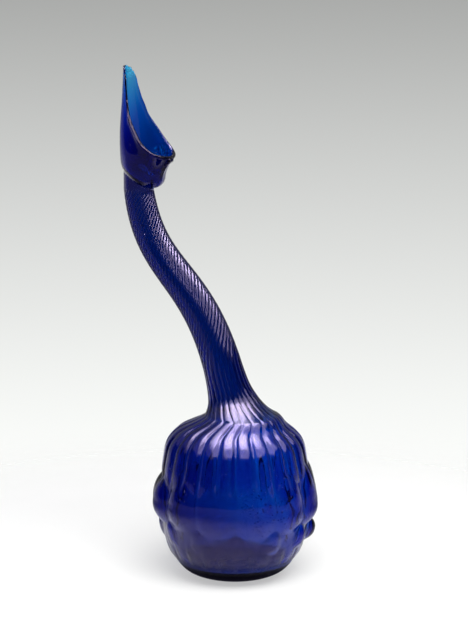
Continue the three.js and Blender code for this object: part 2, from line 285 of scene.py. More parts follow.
def relief(angle, z):
    # How far the mould's pattern stands out of the plain globe at an angle and a height.
    form = globeForm
    lobe = mix(form["lobeHeight"], neckForm["ribHeight"], smooth(z, form["lobeZ"][2], seamZ))
    flute = form["fluteHeight"] * smooth(z, form["fluteZ"][0], form["fluteZ"][1])
    flute = flute * (1 - smooth(z, form["fluteZ"][1], form["fluteZ"][2]))
    lobe = lobe * smooth(z, form["lobeZ"][0], form["lobeZ"][1])
    ribs = ribWave(angle, form["grooveShare"]) * (lobe + flute)
    pitch = 2 * math.pi / form["bosses"]
    bossNumber = np.floor((angle - form["patternTurn"]) / pitch)
    bossAngle = form["patternTurn"] + (bossNumber + 0.5) * pitch
    across = angle - bossAngle
    up = z - form["bossZ"] - strayAt(bossAngle, bossNumber % form["bosses"])
    reachUp = form["bossRise"] + form["bossStretch"] * np.cos(bossAngle - form["tallSide"])
    up = np.where(up > 0, up / reachUp, up / form["bossDrop"])
    boss = form["bossHeight"] * pillow(across, up, form["bossHalfTurn"])
    lozengeNumber = np.round((angle - form["patternTurn"]) / pitch)
    seam = form["patternTurn"] + lozengeNumber * pitch
    across = angle - seam
    shift = strayAt(seam, lozengeNumber % form["bosses"] + form["bosses"])
    low = (z - form["lozengeZ"] - shift) / form["lozengeHalfHeight"]
    stands = form["lozengeHeight"] + form["lozengeStretch"] * np.cos(seam - form["tallSide"])
    lozenge = stands * pillow(across, low, form["lozengeHalfTurn"])
    return ribs + np.maximum(boss, lozenge) * (1 - form["softShare"] * softness(angle))


rootFlare = neckForm["rootRadius"] - neckForm["footRadius"]
rootMiddle = neckForm["rootSkew"] * rootFlare - neckForm["rootBack"]
outline = OutlineCurve(globeForm["outline"])


def globeRings(shares, angles, depth, patternShare):
    # The outline turned round the axis and pushed out along its normal by the pattern, less a depth.
    at, way = outline.at(shares), outline.way(shares)
    level = np.ones(len(shares))
    level[[0, -1]] = 0  # the end rings stay level
    r, z = at[:, :1], at[:, 1:]
    around = angles[None, :]
    out = relief(around, z) * patternShare + fillAt(around, z) - depth
    radius = r + out * mix(1, way[:, 1:], level[:, None])
    height = z - out * way[:, :1] * level[:, None]
    shift = rootMiddle * smooth(z, seamZ - neckForm["skewFrom"], seamZ)
    return np.stack([shift + radius * np.cos(angles), radius * np.sin(angles), height + 0 * radius], -1)


neckCorners = np.array([
    (-neckForm["rootBack"], seamZ),
    (-neckForm["rootBack"] - neckForm["lowerPull"][0], seamZ + neckForm["lowerPull"][1]),
    (-neckForm["rootBack"] - neckForm["back"] + neckForm["upperPull"][0],
     seamZ + neckForm["rise"] - neckForm["upperPull"][1]),
    (-neckForm["rootBack"] - neckForm["back"], seamZ + neckForm["rise"]),
])
neckSteps = np.linspace(0, 1, neckForm["lineSteps"])[:, None]
neckLine = ((1 - neckSteps) ** 3 * neckCorners[0] + 3 * neckSteps * (1 - neckSteps) ** 2 * neckCorners[1]
            + 3 * neckSteps ** 2 * (1 - neckSteps) * neckCorners[2] + neckSteps ** 3 * neckCorners[3])
neckAlong = np.concatenate([[0], np.cumsum(np.linalg.norm(np.diff(neckLine, axis=0), axis=1))])
neckLong = neckAlong[-1]


def taperAt(along):
    return mix(neckForm["footRadius"], neckForm["topRadius"], along / neckLong)


def neckRadius(along, direction):
    # The root tapers slowly towards the tall side and away from it; between the two it carries on the
    # slope of the shoulder and meets the neck in a crease.
    tall = np.cos(direction - globeForm["tallSide"]) ** 2
    left = 1 - along / neckForm["kneeLength"]
    soft = neckForm["kneeSoftness"]
    knee = np.clip((left + np.sqrt(left ** 2 + soft ** 2)) / 2 - soft ** 2 / 4, 0, 1)
    return taperAt(along) + rootFlare * mix(knee, np.exp(-along / neckForm["flareLength"]), tall)


twistSteps = np.linspace(0, neckLong, neckForm["twistSteps"])
twistRate = math.tan(neckForm["ribHelix"]) / taperAt(twistSteps) * smooth(twistSteps, *neckForm["twistFrom"])
twistSum = np.concatenate([[0], np.cumsum((twistRate[1:] + twistRate[:-1]) / 2 * np.diff(twistSteps))])
columnPitch = 2 * math.pi / outerAround
fullTwist = twistSum[-1]


def neckRings(shares, angles, depth, ribShare, twisted):
    # Rings square to the neck's curve, level at both ends; the ribs turn with the distance along it.
    along = shares * neckLong
    middle = np.stack([np.interp(along, neckAlong, neckLine[:, k]) for k in (0, 1)], -1)
    step = neckForm["wayStep"]
    ahead = np.stack([np.interp(along + step, neckAlong, neckLine[:, k]) for k in (0, 1)], -1)
    behind = np.stack([np.interp(along - step, neckAlong, neckLine[:, k]) for k in (0, 1)], -1)
    way = ahead - behind
    seat = smooth(shares, 0, neckForm["seat"]) * (1 - smooth(shares, 1 - neckForm["seat"], 1))
    lean = (np.arctan2(way[:, 0], way[:, 1]) * seat)[:, None]
    turn = np.interp(along, twistSteps, twistSum)[:, None] * (1 if twisted else 0)
    groove = mix(globeForm["grooveShare"], neckForm["ropeGroove"], smooth(along, 0, neckForm["twistFrom"][1]))
    rib = ribWave(angles[None, :], groove[:, None]) * neckForm["ribHeight"] * ribShare
    radius = neckRadius(along[:, None], angles[None, :] + turn) - depth + rib
    forward = radius * np.cos(angles[None, :] + turn)
    side = radius * np.sin(angles[None, :] + turn)
    skew = neckForm["rootSkew"] * rootFlare * np.exp(-along / neckForm["skewLength"])
    x = middle[:, :1] + skew[:, None] + forward * np.cos(lean)
    return np.stack([x, side, middle[:, 1:] - forward * np.sin(lean)], -1)


def neckShares(rows):
    # Rows lie closer together at the foot, where the root flares.
    t = np.linspace(0, 1, rows)
    return mix(t, t ** 2, neckForm["footCrowding"])


def reach(middleX, circleX, radius, angle):
    # How far a circle's edge lies from a middle point along an angle, both on the X axis.
    offset = circleX - middleX
    return offset * np.cos(angle) + np.sqrt(np.maximum(radius ** 2 - (offset * np.sin(angle)) ** 2, 0))


rimCurve = OutlineCurve(mouthForm["rim"])


def mouthPoints(columnAngles, rowShares):
    # Columns climb from the neck's end to the sheared rim. Each level section is a circle whose radius
    # and back follow the spout; below the pouch's seam it is the neck's own tube, and the lip flares.
    # Near the tip the rim is bitten by the product of two sine waves.
    form = mouthForm
    share = np.abs(columnAngles) / math.pi
    side = np.where(columnAngles < 0, -1, 1)
    rim = rimCurve.at(share)
    radius = through(form["radii"], rim[:, 1])
    circleX = radius - through(form["backs"], rim[:, 1])
    rimAngle = np.arccos(np.clip((rim[:, 0] - circleX) / radius, -1, 1))
    t = rowShares[:, None] ** form["rowCrowding"]
    angle = side * mix(share * math.pi, rimAngle[None, :], smooth(t, 0, 1))
    quick, slow = form["chipWaves"]
    bite = np.clip(np.sin(share * quick) * np.sin(share * slow + side), 0, 1)
    bite = bite * smooth(share, *form["chipFrom"])
    height = rim[None, :, 1] * t - form["chipDeep"] * bite * t ** form["chipEdge"]
    radius = through(form["radii"], height)
    circleX = radius - through(form["backs"], height)
    middleX = circleX * smooth(height, 0, form["blendHeight"])
    tube = reach(middleX, 0, neckForm["topRadius"] + neckForm["ribHeight"], angle)
    cup = reach(middleX, circleX, radius, angle)
    back = (1 - np.cos(angle)) / 2
    start = mix(form["frontDrop"], form["backRise"], back)
    opened = np.clip((height - start) / form["pouchTurn"], 0, 1)
    swell = np.sqrt(1 - (1 - opened) ** 2)
    flare = form["lipFlare"] * np.exp(-(rim[None, :, 1] - height) / form["flareLength"]) * (1 - back) ** 2
    out = tube + (cup - tube) * swell + flare
    points = np.stack([middleX + out * np.cos(angle), out * np.sin(angle), height], -1)
    return points + np.array([neckCorners[3][0], 0, neckTopZ])


def mouthWall(height):
    # The glass was drawn thinner towards the tip of the spout.
    share = smooth(height, mouthForm["rim"][0][1], mouthForm["height"])
    return mix(mouthForm["lipWall"], mouthForm["tipWall"], share)


def normalsOf(grid):
    # Outward normal at each point of a grid whose columns run round the piece and rows run up.
    sideways = np.roll(grid, -1, 1) - np.roll(grid, 1, 1)
    up = np.gradient(grid, axis=0)
    n = np.cross(sideways, up)
    return n / np.maximum(np.linalg.norm(n, axis=-1, keepdims=True), 1e-9)


def makeBottle():
    # One skin of blown glass: underside, outer wall, rounded rim, inner wall and floor.
    angles = globeForm["patternTurn"] + np.arange(outerAround) * columnPitch
    innerAngles = angles[::2]
    lowShare = outline.shareAt(baseForm["topZ"])

    kick = np.linspace(0, 1, baseForm["kickRows"] + 1)[1:]
    kickR = baseForm["ringInner"] * kick
    kickZ = baseForm["kick"] * (1 - smooth(kick, *baseForm["kickEdge"]))
    underside = np.stack([kickR[:, None] * np.cos(angles), kickR[:, None] * np.sin(angles),
                          kickZ[:, None] + 0 * angles], -1)
    baseRings = globeRings(np.linspace(0, lowShare, baseForm["rows"]), angles, 0, 0)
    outerGlobe = globeRings(np.linspace(lowShare, 1, globeForm["rows"]), angles, 0, 1)
    outerNeck = neckRings(neckShares(neckForm["rows"]), angles, 0, 1, True)

    turned = (angles + fullTwist + math.pi) % (2 * math.pi) - math.pi
    outerMouth = mouthPoints(turned, np.linspace(0, 1, mouthForm["rows"]))
    wallNormals = normalsOf(outerMouth)
    crown = []
    rise = outerMouth[-1] - outerMouth[-2]
    rise = rise / np.linalg.norm(rise, axis=-1, keepdims=True)
    half = mouthWall(outerMouth[-1][:, 2:] - neckTopZ) / 2
    for k in range(1, mouthForm["crownRows"] + 1):
        turn = math.pi * k / (mouthForm["crownRows"] + 1)
        middle = outerMouth[-1] - wallNormals[-1] * half
        crown.append(middle + wallNormals[-1] * half * math.cos(turn) + rise * half * math.sin(turn))
    outer = np.concatenate([underside, baseRings, outerGlobe[1:], outerNeck[1:], outerMouth[1:],
                            np.array(crown)])

    picks = np.linspace(mouthForm["rows"] - 1, 0, mouthForm["innerRows"])
    low = np.floor(picks).astype(int)
    high = np.minimum(low + 1, mouthForm["rows"] - 1)
    part = (picks - low)[:, None, None]
    wallOuter = mix(outerMouth[low], outerMouth[high], part)[:, ::2]
    wallWay = mix(wallNormals[low], wallNormals[high], part)[:, ::2]
    climb = np.clip(wallOuter[..., 2:] - neckTopZ, 0, None)
    blendUp = smooth(climb, 0, mouthForm["wallBlend"])
    thick = mix(neckForm["wall"] + neckForm["ribHeight"], mouthWall(climb), blendUp)
    flat = wallWay * np.array([1, 1, 0])
    flat = flat / np.linalg.norm(flat, axis=-1, keepdims=True)
    wallWay = mix(flat, wallWay, smooth(climb, 0, mouthForm["levelBlend"]))
    innerMouth = wallOuter - wallWay * thick

    # The bore keeps the mouth's columns, which lie at the turned angles.
    boreAngles = angles[::2] + fullTwist
    unwind = neckShares(neckForm["innerRows"])[::-1]
    innerNeck = neckRings(unwind, boreAngles, neckForm["wall"], 0, False)
    slack = (boreAngles[0] - innerAngles[0]) % (2 * math.pi / innerAround)
    globeShares = np.linspace(1, lowShare, globeForm["innerRows"])
    innerGlobe = globeRings(globeShares, boreAngles, globeForm["wall"], globeForm["innerShare"])
    wallRadius = outline.at(np.array([lowShare]))[0, 0] - globeForm["wall"]
    turn = np.linspace(0, math.pi / 2, baseForm["floorRows"] + 1)[1:-1]
    floorZ = baseForm["kick"] + baseForm["floor"]
    bowlR = wallRadius * np.cos(turn)
    bowlZ = baseForm["topZ"] - (baseForm["topZ"] - floorZ) * np.sin(turn)
    bowl = np.stack([bowlR[:, None] * np.cos(boreAngles), bowlR[:, None] * np.sin(boreAngles),
                     bowlZ[:, None] + 0 * boreAngles], -1)
    inner = np.concatenate([innerMouth, innerNeck[1:], innerGlobe[1:], bowl])

    outerCount, innerCount = outer.shape[0] * outerAround, inner.shape[0] * innerAround
    points = np.vstack([outer.reshape(-1, 3), inner.reshape(-1, 3),
                        [[0, 0, baseForm["kick"]]], [[0, 0, floorZ]]])
    faces = quadRows(0, outer.shape[0], outerAround) + quadRows(outerCount, inner.shape[0], innerAround)
    rimRow, innerRow = outerCount - outerAround, outerCount
    for k in range(innerAround):
        a, b, c = rimRow + 2 * k, rimRow + 2 * k + 1, rimRow + (2 * k + 2) % outerAround
        p, q = innerRow + k, innerRow + (k + 1) % innerAround
        faces += [[a, b, p], [b, q, p], [b, c, q]]
    under, floor = outerCount + innerCount, outerCount + innerCount + 1
    last = outerCount + innerCount - innerAround
    faces += [[under, (j + 1) % outerAround, j] for j in range(outerAround)]
    faces += [[floor, last + k, last + (k + 1) % innerAround] for k in range(innerAround)]
    return makeMesh("bottle_glass", points, faces)


bottle = makeBottle()
print("bottle:", len(bottle.data.polygons), "faces")


# Pontil scar: a rough broken disc in the middle of the pushed-in base
scarForm = {
    "radius": 7.6,
    "deep": 1.1,
    "rough": 0.22,
    "swirl": (0.5, 7, 2, 2),
    "waves": [(0.3, 5, 9), (0.2, 11, -17)],
    "edgeRise": (0.35, 6),
    "calmEdge": 8,
    "edgeWaves": [(0.03, 3, 1), (0.02, 8, 0)],
    "around": 96,
    "rows": 22,
    "gap": 0.05,
}


def makeScar():
    # A disc turned round the axis. Its underside is broken by swirling rings and by two sine waves that
    # calm down at the edge, where it rises, and two more waves make the edge uneven.
    form = scarForm
    angles = np.arange(form["around"]) * 2 * math.pi / form["around"]
    r = np.linspace(0, 1, form["rows"] + 1)[1:, None]
    top = baseForm["kick"] - form["gap"]
    share, outward, swirl, turns = form["swirl"]
    broken = share * np.sin(outward * r + swirl * np.cos(turns * angles))
    for share, turns, outward in form["waves"]:
        broken = broken + share * np.sin(turns * angles + outward * r)
    lift, liftPower = form["edgeRise"]
    broken = form["rough"] * broken * (1 - r ** form["calmEdge"])
    under = top - form["deep"] * (1 - lift * r ** liftPower) - broken
    uneven = 1
    for share, turns, start in form["edgeWaves"]:
        uneven = uneven + share * np.sin(turns * angles + start)
    edge = form["radius"] * uneven
    x, y = r * edge * np.cos(angles), r * edge * np.sin(angles)
    bottom = np.stack([x, y, under], -1)
    upper = np.stack([x, y, np.full_like(x, top)], -1)[::-1]
    rings = np.concatenate([bottom, upper])
    count = rings.shape[0] * form["around"]
    points = np.vstack([rings.reshape(-1, 3), [[0, 0, top - form["deep"]]], [[0, 0, top]]])
    faces = quadRows(0, rings.shape[0], form["around"])
    n = form["around"]
    faces += [[count, (j + 1) % n, j] for j in range(n)]
    faces += [[count + 1, count - n + j, count - n + (j + 1) % n] for j in range(n)]
    return makeMesh("pontil_scar_glass", points, faces)


scar = makeScar()
print("scar:", len(scar.data.polygons), "faces")


# Materials
glassLook = {
    "roughness": 0.03,
    "ior": 1.5,
    "specularTint": (0.76, 0.62, 1.0),
    "absorbPerMetre": (2400, 620, 150),
    "shadowTint": (0.6, 0.6, 0.6),
    "tintAxis": math.radians(32),
    # The globe's two side colours are painted shade and light: darker on the left as the camera sees it.
    "paintedShadeSide": (0.42, 0.4, 0.64),
    "paintedLitSide": (0.96, 0.98, 1.0),
    "sideFrom": -0.05,
    "sideTo": 0.035,
    "neck": (0.5, 0.43, 0.5),
    "neckFromZ": (0.113, 0.124),
    "spoutFromZ": (0.284, 0.3),
    "spout": [(0, (0.95, 1.0, 1.0)), (0.25, (0.8, 0.68, 0.92)), (0.55, (0.5, 0.3, 0.66)),
              (1, (0.32, 0.17, 0.38))],
    "spoutStart": (-0.0792, 0.3625),
    "spoutDown": 0.35,
    "spoutSpan": 0.032,
}


def newMaterial(name):
    material = bpy.data.materials.new(name)
    material.use_nodes = True
    material.node_tree.nodes.clear()
    return material, material.node_tree.nodes, material.node_tree.links


def ranged(nodes, links, value, low, high):
    # 0 below low and 1 above high, with an S between them.
    node = nodes.new("ShaderNodeMapRange")
    node.interpolation_type = "SMOOTHSTEP"
    node.inputs["From Min"].default_value = low
    node.inputs["From Max"].default_value = high
    links.new(value, node.inputs["Value"])
    return node.outputs["Result"]


def partAlong(nodes, links, vector, way):
    # How far a vector reaches along a direction.
    node = nodes.new("ShaderNodeVectorMath")
    node.operation = "DOT_PRODUCT"
    node.inputs[1].default_value = way
    links.new(vector, node.inputs[0])
    return node.outputs["Value"]


def sums(nodes, links, operation, a, b):
    node = nodes.new("ShaderNodeMath")
    node.operation = operation
    for socket, value in zip(node.inputs, (a, b)):
        if isinstance(value, (int, float)):
            socket.default_value = value
        else:
            links.new(value, socket)
    return node.outputs[0]


def blend(nodes, links, share, first, second):
    node = nodes.new("ShaderNodeMix")
    node.data_type = "RGBA"
    links.new(share, node.inputs["Factor"])
    for name, value in (("A", first), ("B", second)):
        if isinstance(value, tuple):
            node.inputs[name].default_value = (*value, 1)
        else:
            links.new(value, node.inputs[name])
    return node.outputs["Result"]


def either(nodes, links, share, first, second):
    node = nodes.new("ShaderNodeMixShader")
    links.new(share, node.inputs["Fac"])
    links.new(first, node.inputs[1])
    links.new(second, node.inputs[2])
    return node.outputs[0]


seedLook = {
    "spacing": 300,
    "size": (0.2, 0.06),
    "clusterScale": 24,
    "cluster": (0.55, 0.66),
    "thick": [((0.0663, -0.0236, 0.068), (0.036, 0.012)), ((-0.055, 0.0158, 0.301), (0.014, 0.008))],
    "deep": 0.00045,
    "crumbs": [((-0.055, 0.0162, 0.3), (0.0125, 0.0085)), ((-0.0765, 0, 0.3695), (0.011, 0.006))],
    "crumbScale": 620,
    "crumbDeep": 0.0011,
    # The crumbs' glints are painted: the glass's colour turns white in spots there.
    "crumbGlint": (0.5, 0.62),
    "paintedGlintColour": (1.0, 1.0, 1.0),
    "striaScale": (30, 30, 14),
    "striaDeep": 0.0003,
}


def nearTo(nodes, links, place, middle, reachOf):
    # 1 inside the smaller distance from a point and 0 outside the larger.
    away = nodes.new("ShaderNodeVectorMath")
    away.operation = "DISTANCE"
    away.inputs[1].default_value = middle
    links.new(place, away.inputs[0])
    return ranged(nodes, links, away.outputs["Value"], *reachOf)


def rubbleAt(nodes, links, place):
    # A fine noise, and a mask that is 1 on the crumbs' places.
    rubble = nodes.new("ShaderNodeTexNoise")
    rubble.inputs["Scale"].default_value = seedLook["crumbScale"]
    rubble.inputs["Detail"].default_value = 1
    links.new(place, rubble.inputs["Vector"])
    broken = 0.0
    for middle, reachOf in seedLook["crumbs"]:
        broken = sums(nodes, links, "MAXIMUM", broken, nearTo(nodes, links, place, middle, reachOf))
    return rubble.outputs["Fac"], broken


def paintedLightAndThicknessTint():
    # Painted shade: the globe is darker on its left side, as the camera sees it, and lighter on its right.
    # The neck's wall is thicker all round, and the spout's down and to the right of its tip, towards the cup.
    # Painted glints: the crumbs turn white in spots.
    look = glassLook
    group = bpy.data.node_groups.new("painted light and thickness tint", "ShaderNodeTree")
    group.interface.new_socket(name="Color", in_out="OUTPUT", socket_type="NodeSocketColor")
    nodes, links = group.nodes, group.links
    place = nodes.new("ShaderNodeTexCoord").outputs["Object"]
    right = (math.cos(look["tintAxis"]), math.sin(look["tintAxis"]), 0)
    middle = globeAxis.x * right[0] + globeAxis.y * right[1]
    across = sums(nodes, links, "SUBTRACT", partAlong(nodes, links, place, right), middle)
    height = partAlong(nodes, links, place, (0, 0, 1))
    side = ranged(nodes, links, across, look["sideFrom"], look["sideTo"])
    # Painted shade: the globe darker on its left side and lighter on its right.
    globe = blend(nodes, links, side, look["paintedShadeSide"], look["paintedLitSide"])
    down = sums(nodes, links, "MULTIPLY", sums(nodes, links, "SUBTRACT", look["spoutStart"][1], height),
                look["spoutDown"])
    inward = sums(nodes, links, "ADD", sums(nodes, links, "SUBTRACT", across, look["spoutStart"][0]), down)
    ramp = nodes.new("ShaderNodeValToRGB")
    while len(ramp.color_ramp.elements) < len(look["spout"]):
        ramp.color_ramp.elements.new(0.5)
    for stop, (share, colour) in zip(ramp.color_ramp.elements, look["spout"]):
        stop.position = share
        stop.color = (*colour, 1)
    links.new(sums(nodes, links, "DIVIDE", inward, look["spoutSpan"]), ramp.inputs["Fac"])
    upper = blend(nodes, links, ranged(nodes, links, height, *look["spoutFromZ"]), look["neck"],
                  ramp.outputs["Color"])
    whole = blend(nodes, links, ranged(nodes, links, height, *look["neckFromZ"]), globe, upper)
    rubble, broken = rubbleAt(nodes, links, place)
    # Painted glints: white spots on the crumbs.
    glint = sums(nodes, links, "MULTIPLY", ranged(nodes, links, rubble, *seedLook["crumbGlint"]), broken)
    whole = blend(nodes, links, glint, whole, seedLook["paintedGlintColour"])
    result = nodes.new("NodeGroupOutput")
    links.new(whole, result.inputs[0])
    return group


def meltMarks():
    # Seeds, which are small round bubbles in clusters, crumbs and the slow waves of the wall, as a height.
    look = seedLook
    group = bpy.data.node_groups.new("melt marks", "ShaderNodeTree")
    group.interface.new_socket(name="Height", in_out="OUTPUT", socket_type="NodeSocketFloat")
    nodes, links = group.nodes, group.links
    place = nodes.new("ShaderNodeTexCoord").outputs["Object"]
    cells = nodes.new("ShaderNodeTexVoronoi")
    cells.inputs["Scale"].default_value = look["spacing"]
    links.new(place, cells.inputs["Vector"])
    seeds = ranged(nodes, links, cells.outputs["Distance"], *look["size"])
    clouds = nodes.new("ShaderNodeTexNoise")
    clouds.inputs["Scale"].default_value = look["clusterScale"]
    links.new(place, clouds.inputs["Vector"])
    share = ranged(nodes, links, clouds.outputs["Fac"], *look["cluster"])
    for middle, reachOf in look["thick"]:
        share = sums(nodes, links, "MAXIMUM", share, nearTo(nodes, links, place, middle, reachOf))
    seeds = sums(nodes, links, "MULTIPLY", sums(nodes, links, "MULTIPLY", seeds, share), look["deep"])
    rubble, broken = rubbleAt(nodes, links, place)
    rough = sums(nodes, links, "MULTIPLY", sums(nodes, links, "MULTIPLY", rubble, broken), look["crumbDeep"])
    seeds = sums(nodes, links, "ADD", seeds, rough)
    drawn = nodes.new("ShaderNodeMapping")
    drawn.inputs["Scale"].default_value = look["striaScale"]
    links.new(place, drawn.inputs["Vector"])
    waves = nodes.new("ShaderNodeTexNoise")
    waves.inputs["Scale"].default_value = 1
    waves.inputs["Detail"].default_value = 1
    links.new(drawn.outputs["Vector"], waves.inputs["Vector"])
    slow = sums(nodes, links, "MULTIPLY", waves.outputs["Fac"], look["striaDeep"])
    links.new(sums(nodes, links, "ADD", seeds, slow), nodes.new("NodeGroupOutput").inputs[0])
    return group


def cobaltGlass():
    # Clear glass that absorbs red most; to shadow and diffuse rays it is an evenly grey pane.
    material, nodes, links = newMaterial("cobalt glass")
    out = nodes.new("ShaderNodeOutputMaterial")
    glass = nodes.new("ShaderNodeBsdfPrincipled")
    tint = nodes.new("ShaderNodeGroup")
    tint.node_tree = paintedLightAndThicknessTint()
    # The base colour holds painted shade on the globe and painted glints on the crumbs.
    links.new(tint.outputs["Color"], glass.inputs["Base Color"])
    marks = nodes.new("ShaderNodeGroup")
    marks.node_tree = meltMarks()
    bump = nodes.new("ShaderNodeBump")
    bump.inputs["Distance"].default_value = 1
    links.new(marks.outputs["Height"], bump.inputs["Height"])
    links.new(bump.outputs["Normal"], glass.inputs["Normal"])
    glass.inputs["Specular Tint"].default_value = (*glassLook["specularTint"], 1)
    glass.inputs["Roughness"].default_value = glassLook["roughness"]
    glass.inputs["IOR"].default_value = glassLook["ior"]
    glass.inputs["Transmission Weight"].default_value = 1
    absorb = nodes.new("ShaderNodeVolumeAbsorption")
    most = max(glassLook["absorbPerMetre"])
    absorb.inputs["Color"].default_value = (*[1 - each / most for each in glassLook["absorbPerMetre"]], 1)
    absorb.inputs["Density"].default_value = most
    path = nodes.new("ShaderNodeLightPath")
    clear = nodes.new("ShaderNodeBsdfTransparent")
    clear.inputs["Color"].default_value = (*glassLook["shadowTint"], 1)
    soft = sums(nodes, links, "MAXIMUM", path.outputs["Is Shadow Ray"], path.outputs["Is Diffuse Ray"])
    surface = either(nodes, links, soft, glass.outputs["BSDF"], clear.outputs["BSDF"])
    links.new(surface, out.inputs["Surface"])
    links.new(absorb.outputs["Volume"], out.inputs["Volume"])
    return material


scarLook = {
    "colour": (0.03, 0.06, 0.3),
    "roughness": 0.4,
    "grainScale": 900,
    "grainStrength": 0.5,
    "grainDeep": 0.0002,
}


def scarGlass():
    material, nodes, links = newMaterial("scar glass")
    out = nodes.new("ShaderNodeOutputMaterial")
    glass = nodes.new("ShaderNodeBsdfPrincipled")
    glass.inputs["Base Color"].default_value = (*scarLook["colour"], 1)
    glass.inputs["Roughness"].default_value = scarLook["roughness"]
    grain = nodes.new("ShaderNodeTexNoise")
    grain.inputs["Scale"].default_value = scarLook["grainScale"]
    bump = nodes.new("ShaderNodeBump")
    bump.inputs["Strength"].default_value = scarLook["grainStrength"]
    bump.inputs["Distance"].default_value = scarLook["grainDeep"]
    place = nodes.new("ShaderNodeTexCoord")
    links.new(place.outputs["Object"], grain.inputs["Vector"])
    links.new(grain.outputs["Fac"], bump.inputs["Height"])
    links.new(bump.outputs["Normal"], glass.inputs["Normal"])
    links.new(glass.outputs["BSDF"], out.inputs["Surface"])
    return material


def dress(piece, material, slotName, *nodes):
    piece.data.materials.append(material)
    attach(piece, "root")
    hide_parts(*nodes)


dress(bottle, cobaltGlass(), "cobalt_glass", "base", "globe", "neck_lower", "neck_upper", "mouth")
dress(scar, scarGlass(), "scar_glass", "pontil_scar")
print("dressed:", bottle.name, "and", scar.name)


# Floor: a pale disc that fades into the backdrop, and is dimmer in reflections and through glass
floorForm = {
    "radius": 0.6,
    "around": 128,
    "fade": (0.22, 0.45),
    "colour": (0.93, 0.93, 0.925),
    "roughness": 0.7,
    "specular": 0.1,
    "glow": 0.45,
    "dimColour": (0.026, 0.024, 0.045),
    "dimUnder": (0.062, 0.036),
    "dimBeyond": (0.06, 0.22),
    "dimBeyondShare": 0.84,
    "dimThrough": 0.35,
}


def makeFloor():
    angles = np.arange(floorForm["around"]) * 2 * math.pi / floorForm["around"]
    rim = np.stack([np.cos(angles), np.sin(angles), 0 * angles], -1) * floorForm["radius"]
    mesh = bpy.data.meshes.new("floor")
    mesh.from_pydata(rim.tolist(), [], [list(range(len(rim)))])
    floor = bpy.data.objects.new("floor", mesh)
    bpy.context.scene.collection.objects.link(floor)
    material, nodes, links = newMaterial("floor")
    out = nodes.new("ShaderNodeOutputMaterial")
    paint = nodes.new("ShaderNodeBsdfPrincipled")
    paint.inputs["Base Color"].default_value = (*floorForm["colour"], 1)
    paint.inputs["Roughness"].default_value = floorForm["roughness"]
    paint.inputs["Specular IOR Level"].default_value = floorForm["specular"]
    clear = nodes.new("ShaderNodeBsdfTransparent")
    glow = nodes.new("ShaderNodeEmission")
    shade = nodes.new("ShaderNodeEmission")
    shade.inputs["Color"].default_value = (*floorForm["dimColour"], 1)
    place = nodes.new("ShaderNodeTexCoord").outputs["Object"]
    length = nodes.new("ShaderNodeVectorMath")
    length.operation = "LENGTH"
    links.new(place, length.inputs[0])
    far = length.outputs["Value"]
    path = nodes.new("ShaderNodeLightPath").outputs

    # A reflection finds the floor dim under the bottle and far from it, and glass finds it part dim.
    under = nearTo(nodes, links, place, (globeAxis.x, globeAxis.y, 0), floorForm["dimUnder"])
    beyond = sums(nodes, links, "MULTIPLY", ranged(nodes, links, far, *floorForm["dimBeyond"]),
                  floorForm["dimBeyondShare"])
    mirrored = sums(nodes, links, "SUBTRACT", path["Is Glossy Ray"], path["Is Transmission Ray"])
    dim = sums(nodes, links, "MULTIPLY", sums(nodes, links, "MAXIMUM", beyond, under), mirrored)
    through = sums(nodes, links, "MULTIPLY", path["Is Transmission Ray"], floorForm["dimThrough"])
    dim = sums(nodes, links, "MAXIMUM", dim, through)

    seen = sums(nodes, links, "MULTIPLY", path["Is Camera Ray"], floorForm["glow"])
    surface = either(nodes, links, seen, paint.outputs["BSDF"], glow.outputs["Emission"])
    surface = either(nodes, links, dim, surface, shade.outputs["Emission"])
    fade = ranged(nodes, links, far, *floorForm["fade"])
    surface = either(nodes, links, fade, surface, clear.outputs["BSDF"])
    links.new(surface, out.inputs["Surface"])
    floor.data.materials.append(material)


makeFloor()
print("floor:", floorForm["radius"], "m in radius")


# World: the camera sees a grey sweep, glass the same sweep with a brighter top, gloss the studio in
# front and the sweep behind, and all else a plain level
worldLook = {
    "plainLevel": 0.42,
    "sweep": [(-0.25, 1.0), (-0.2, 0.85), (-0.15, 0.7), (-0.1, 0.55), (-0.05, 0.4), (0.05, 0.3), (0.4, 0.25)],
    "sweepTint": (0.985, 1.0, 0.98),
    "throughLeast": 0.55,
    "behind": (-0.05, -0.5),
    "room": 0.02,
    "table": 0.25,
    "tableEdge": 0.02,
    "leastRise": 0.03,
    "scrims": [
        {"level": 20.0, "across": (-0.3, 0.4), "acrossEdge": 0.35, "along": (-0.75, 0.3), "alongEdge": 0.2},
        {"level": 3.6, "across": (-0.5, 1.15), "acrossEdge": 0.2, "along": (-0.2, 1.5), "alongEdge": 0.12},
        {"level": 0.55, "across": (-1.3, 1.3), "acrossEdge": 0.1, "along": (-0.75, 2.0), "alongEdge": 0.25},
    ],
}


def sweepColour(nodes, links, rise):
    # White at the floor, falling evenly as the ray rises, and grey overhead.
    ramp = nodes.new("ShaderNodeValToRGB")
    ramp.color_ramp.interpolation = "B_SPLINE"
    stops = ramp.color_ramp.elements
    levels = worldLook["sweep"]
    while len(stops) < len(levels):
        stops.new(0.5)
    low, high = levels[0][0], levels[-1][0]
    for stop, (place, level) in zip(stops, levels):
        stop.position = (place - low) / (high - low)
        stop.color = (*[level * c for c in worldLook["sweepTint"]], 1)
    share = nodes.new("ShaderNodeMapRange")
    share.inputs["From Min"].default_value = low
    share.inputs["From Max"].default_value = high
    links.new(rise, share.inputs["Value"])
    links.new(share.outputs["Result"], ramp.inputs["Fac"])
    return ramp.outputs["Color"]


def within(nodes, links, value, span, edge):
    # 1 between the two ends of a span and 0 outside it, with soft edges.
    low = ranged(nodes, links, value, span[0] - edge, span[0] + edge)
    high = ranged(nodes, links, value, span[1] + edge, span[1] - edge)
    return sums(nodes, links, "MULTIPLY", low, high)


